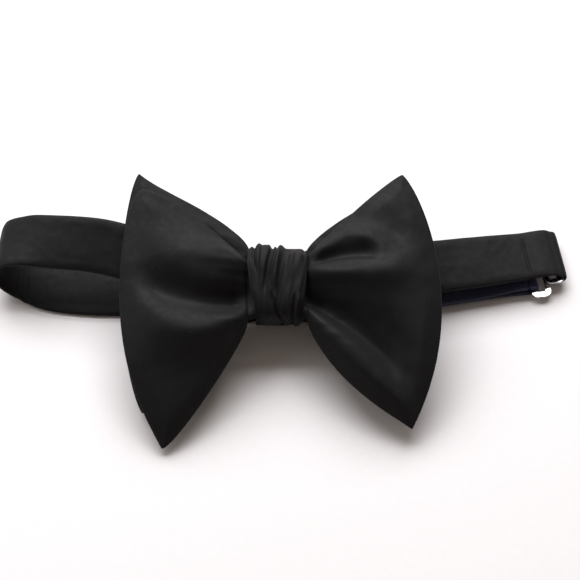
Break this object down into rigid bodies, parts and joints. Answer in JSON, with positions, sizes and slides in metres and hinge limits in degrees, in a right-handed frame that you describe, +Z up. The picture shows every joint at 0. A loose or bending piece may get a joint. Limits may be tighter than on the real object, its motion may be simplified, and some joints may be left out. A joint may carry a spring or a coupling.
{
  "type": "bow tie",
  "caption": "Large butterfly bow tie in black satin, two sewn bow panels held by a pleated knot, on a flat neckband closed by a metal hook and eye, with a ribbon and slider adjuster",
  "frame": {"origin": "middle of the tie's bounding box, on the table that it lies on", "axes": "+X along the bow towards the hook and eye, +Y from the bow's lower corners to its upper corners, +Z up, out of the front of the bow"},
  "size_m": [0.2038, 0.094, 0.0336],
  "materials": {
    "satin": "black satin, soft sheen",
    "interlining": "woven canvas interlining",
    "navy_ribbon": "navy grosgrain ribbon",
    "nickel": "polished dark nickel plate",
    "thread": "black sewing thread"
  },
  "bodies": {
    "root": {"front_bow_cover": "satin", "front_bow_interlining": "interlining", "rear_bow_cover": "satin", "rear_bow_interlining": "interlining", "waist_binding": "thread", "knot_wrap": "satin", "knot_interlining": "interlining", "band_keeper": "satin", "keeper_tack_upper": "thread", "keeper_tack_lower": "thread", "neckband_cover": "satin", "neckband_interlining": "interlining", "hem_stitches": "thread", "adjuster_ribbon": "navy_ribbon", "ribbon_return": "navy_ribbon", "lap_stitches": "thread"},
    "hook": {"hook": "nickel"},
    "eye": {"eye": "nickel"},
    "slider": {"slider": "nickel", "slider_stitches": "thread"}
  },
  "joints": [
    {"name": "hook_pivot", "type": "hinge", "parent": "root", "child": "hook", "pos_m": [0.08836, 0.02365, 0.00233], "axis": [-0.1392, 0.9903, 0], "range_deg": [0, 8]},
    {"name": "eye_pivot", "type": "hinge", "parent": "root", "child": "eye", "pos_m": [0.09847, 0.0282, 0.00373], "axis": [-0.1392, 0.9903, 0], "range_deg": [-8.5, 0]},
    {"name": "slider_slide", "type": "slide", "parent": "root", "child": "slider", "axis": [0.9843, 0.1764, 0], "range_m": [-0.008, 0.024], "deforming": ["ribbon_return"]}
  ],
  "couplings": [
    {"joint": "eye_pivot", "follows": "hook_pivot", "ratio": -1.05}
  ]
}
